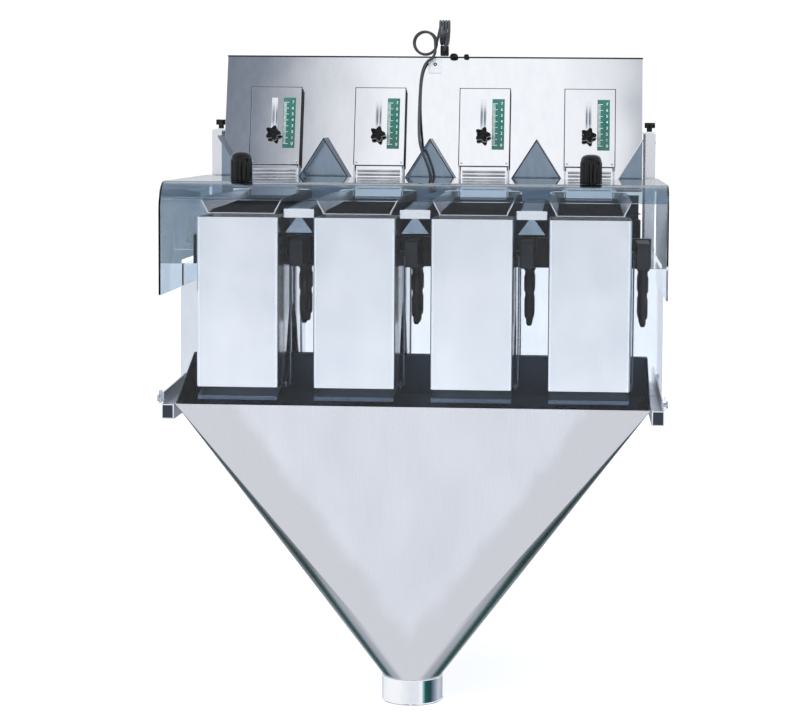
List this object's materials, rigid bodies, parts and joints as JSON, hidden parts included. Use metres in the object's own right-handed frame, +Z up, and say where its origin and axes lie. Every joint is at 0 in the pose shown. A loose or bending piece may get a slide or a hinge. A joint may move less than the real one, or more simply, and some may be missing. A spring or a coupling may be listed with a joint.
{
  "type": "linear weigher for a vertical form fill sealer",
  "caption": "Stainless linear weigher for a vertical bagger: hopper with gates, feeder pans, weigh buckets, tinted guard and a discharge chute to a round outlet.",
  "frame": {"origin": "centre of the underside of the front cross member of the base frame", "axes": "+X to the right seen from the front, -Y towards the front where the buckets and guard are, +Z up"},
  "size_m": [0.999, 0.918, 1.3779],
  "materials": {
    "satin": "satin brushed stainless sheet",
    "mirror": "mirror polished stainless sheet",
    "casting": "dark painted casting",
    "black": "black moulded plastic",
    "tinted": "smoke tinted clear polycarbonate",
    "cord": "grey cord jacket"
  },
  "bodies": {
    "frame": {"left_rail": "satin", "right_rail": "satin", "left_rail_plug": "black", "right_rail_plug": "black", "front_cross_member": "satin", "rear_cross_member": "satin", "chassis": "mirror", "rear_cover": "satin", "drive_beam": "satin", "hopper": "mirror", "left_column": "satin", "right_column": "satin", "discharge_chute": "satin", "outlet_collar": "mirror", "cord_gland": "black", "cord_tube": "cord", "cord_coil": "cord", "cord_bundle": "cord", "cord_plug": "black", "pan_divider_1": "satin", "pan_divider_2": "satin", "pan_divider_3": "satin", "weigh_bucket_1": "satin", "vibrator_1": "casting", "weigh_bucket_2": "satin", "vibrator_2": "casting", "weigh_bucket_3": "satin", "vibrator_3": "casting", "weigh_bucket_4": "satin", "vibrator_4": "casting"},
    "flap_1": {"dump_flap_1": "satin"},
    "arm_1": {"drive_arm_1": "casting"},
    "rod_1": {"link_rod_1": "satin"},
    "pan_1": {"feeder_pan_1": "satin"},
    "gate_slide_1": {"gate_1": "mirror"},
    "gate_clamp_1": {"gate_knob_1": "black"},
    "flap_2": {"dump_flap_2": "satin"},
    "arm_2": {"drive_arm_2": "casting"},
    "rod_2": {"link_rod_2": "satin"},
    "pan_2": {"feeder_pan_2": "satin"},
    "gate_slide_2": {"gate_2": "mirror"},
    "gate_clamp_2": {"gate_knob_2": "black"},
    "flap_3": {"dump_flap_3": "satin"},
    "arm_3": {"drive_arm_3": "casting"},
    "rod_3": {"link_rod_3": "satin"},
    "pan_3": {"feeder_pan_3": "satin"},
    "gate_slide_3": {"gate_3": "mirror"},
    "gate_clamp_3": {"gate_knob_3": "black"},
    "flap_4": {"dump_flap_4": "satin"},
    "arm_4": {"drive_arm_4": "casting"},
    "rod_4": {"link_rod_4": "satin"},
    "pan_4": {"feeder_pan_4": "satin"},
    "gate_slide_4": {"gate_4": "mirror"},
    "gate_clamp_4": {"gate_knob_4": "black"},
    "guard": {"guard_cover": "tinted"},
    "left_guard_grip": {"left_cover_knob": "black"},
    "left_hopper_clamp": {"left_column_knob": "black"},
    "right_guard_grip": {"right_cover_knob": "black"},
    "right_hopper_clamp": {"right_column_knob": "black"}
  },
  "joints": [
    {"name": "flap_1_hinge", "type": "hinge", "parent": "frame", "child": "flap_1", "pos_m": [-0.345, -0.347, 0.0605], "axis": [1, 0, 0], "range_deg": [0, 45]},
    {"name": "arm_1_shaft", "type": "hinge", "parent": "frame", "child": "arm_1", "pos_m": [-0.345, -0.347, 0.325], "axis": [1, 0, 0], "range_deg": [0, 45]},
    {"name": "rod_1_pin", "type": "hinge", "parent": "arm_1", "child": "rod_1", "pos_m": [-0.345, -0.307, 0.325], "axis": [1, 0, 0], "range_deg": [-45, 0]},
    {"name": "pan_1_shake", "type": "slide", "parent": "frame", "child": "pan_1", "axis": [0, -0.9397, 0.342], "range_m": [-0.001, 0.001], "stiffness_N_per_m": 40000},
    {"name": "gate_1_lift", "type": "slide", "parent": "frame", "child": "gate_slide_1", "axis": [0, 0.2588, 0.9659], "range_m": [0, 0.075]},
    {"name": "gate_knob_1_turn", "type": "hinge", "parent": "gate_slide_1", "child": "gate_clamp_1", "pos_m": [-0.348, 0.09331, 0.55601], "axis": [0, -0.9659, 0.2588], "continuous": true},
    {"name": "flap_2_hinge", "type": "hinge", "parent": "frame", "child": "flap_2", "pos_m": [-0.115, -0.347, 0.0605], "axis": [1, 0, 0], "range_deg": [0, 45]},
    {"name": "arm_2_shaft", "type": "hinge", "parent": "frame", "child": "arm_2", "pos_m": [-0.115, -0.347, 0.325], "axis": [1, 0, 0], "range_deg": [0, 45]},
    {"name": "rod_2_pin", "type": "hinge", "parent": "arm_2", "child": "rod_2", "pos_m": [-0.115, -0.307, 0.325], "axis": [1, 0, 0], "range_deg": [-45, 0]},
    {"name": "pan_2_shake", "type": "slide", "parent": "frame", "child": "pan_2", "axis": [0, -0.9397, 0.342], "range_m": [-0.001, 0.001], "stiffness_N_per_m": 40000},
    {"name": "gate_2_lift", "type": "slide", "parent": "frame", "child": "gate_slide_2", "axis": [0, 0.2588, 0.9659], "range_m": [0, 0.075]},
    {"name": "gate_knob_2_turn", "type": "hinge", "parent": "gate_slide_2", "child": "gate_clamp_2", "pos_m": [-0.118, 0.09331, 0.55601], "axis": [0, -0.9659, 0.2588], "continuous": true},
    {"name": "flap_3_hinge", "type": "hinge", "parent": "frame", "child": "flap_3", "pos_m": [0.115, -0.347, 0.0605], "axis": [1, 0, 0], "range_deg": [0, 45]},
    {"name": "arm_3_shaft", "type": "hinge", "parent": "frame", "child": "arm_3", "pos_m": [0.115, -0.347, 0.325], "axis": [1, 0, 0], "range_deg": [0, 45]},
    {"name": "rod_3_pin", "type": "hinge", "parent": "arm_3", "child": "rod_3", "pos_m": [0.115, -0.307, 0.325], "axis": [1, 0, 0], "range_deg": [-45, 0]},
    {"name": "pan_3_shake", "type": "slide", "parent": "frame", "child": "pan_3", "axis": [0, -0.9397, 0.342], "range_m": [-0.001, 0.001], "stiffness_N_per_m": 40000},
    {"name": "gate_3_lift", "type": "slide", "parent": "frame", "child": "gate_slide_3", "axis": [0, 0.2588, 0.9659], "range_m": [0, 0.075]},
    {"name": "gate_knob_3_turn", "type": "hinge", "parent": "gate_slide_3", "child": "gate_clamp_3", "pos_m": [0.112, 0.09331, 0.55601], "axis": [0, -0.9659, 0.2588], "continuous": true},
    {"name": "flap_4_hinge", "type": "hinge", "parent": "frame", "child": "flap_4", "pos_m": [0.345, -0.347, 0.0605], "axis": [1, 0, 0], "range_deg": [0, 45]},
    {"name": "arm_4_shaft", "type": "hinge", "parent": "frame", "child": "arm_4", "pos_m": [0.345, -0.347, 0.325], "axis": [1, 0, 0], "range_deg": [0, 45]},
    {"name": "rod_4_pin", "type": "hinge", "parent": "arm_4", "child": "rod_4", "pos_m": [0.345, -0.307, 0.325], "axis": [1, 0, 0], "range_deg": [-45, 0]},
    {"name": "pan_4_shake", "type": "slide", "parent": "frame", "child": "pan_4", "axis": [0, -0.9397, 0.342], "range_m": [-0.001, 0.001], "stiffness_N_per_m": 40000},
    {"name": "gate_4_lift", "type": "slide", "parent": "frame", "child": "gate_slide_4", "axis": [0, 0.2588, 0.9659], "range_m": [0, 0.075]},
    {"name": "gate_knob_4_turn", "type": "hinge", "parent": "gate_slide_4", "child": "gate_clamp_4", "pos_m": [0.342, 0.09331, 0.55601], "axis": [0, -0.9659, 0.2588], "continuous": true},
    {"name": "guard_tilt", "type": "hinge", "parent": "frame", "child": "guard", "pos_m": [0, -0.46, 0.043], "axis": [1, 0, 0], "range_deg": [0, 75]},
    {"name": "left_cover_knob_turn", "type": "hinge", "parent": "guard", "child": "left_guard_grip", "pos_m": [-0.345, -0.388, 0.4673], "axis": [0, 0, 1], "continuous": true},
    {"name": "left_column_knob_turn", "type": "hinge", "parent": "frame", "child": "left_hopper_clamp", "pos_m": [-0.4755, 0.1555, 0.5686], "axis": [0, 0, 1], "continuous": true},
    {"name": "right_cover_knob_turn", "type": "hinge", "parent": "guard", "child": "right_guard_grip", "pos_m": [0.345, -0.388, 0.4673], "axis": [0, 0, 1], "continuous": true},
    {"name": "right_column_knob_turn", "type": "hinge", "parent": "frame", "child": "right_hopper_clamp", "pos_m": [0.4755, 0.1555, 0.5686], "axis": [0, 0, 1], "continuous": true}
  ],
  "couplings": [
    {"joint": "arm_1_shaft", "follows": "flap_1_hinge", "ratio": 1},
    {"joint": "rod_1_pin", "follows": "flap_1_hinge", "ratio": -1},
    {"joint": "arm_2_shaft", "follows": "flap_2_hinge", "ratio": 1},
    {"joint": "rod_2_pin", "follows": "flap_2_hinge", "ratio": -1},
    {"joint": "arm_3_shaft", "follows": "flap_3_hinge", "ratio": 1},
    {"joint": "rod_3_pin", "follows": "flap_3_hinge", "ratio": -1},
    {"joint": "arm_4_shaft", "follows": "flap_4_hinge", "ratio": 1},
    {"joint": "rod_4_pin", "follows": "flap_4_hinge", "ratio": -1}
  ]
}
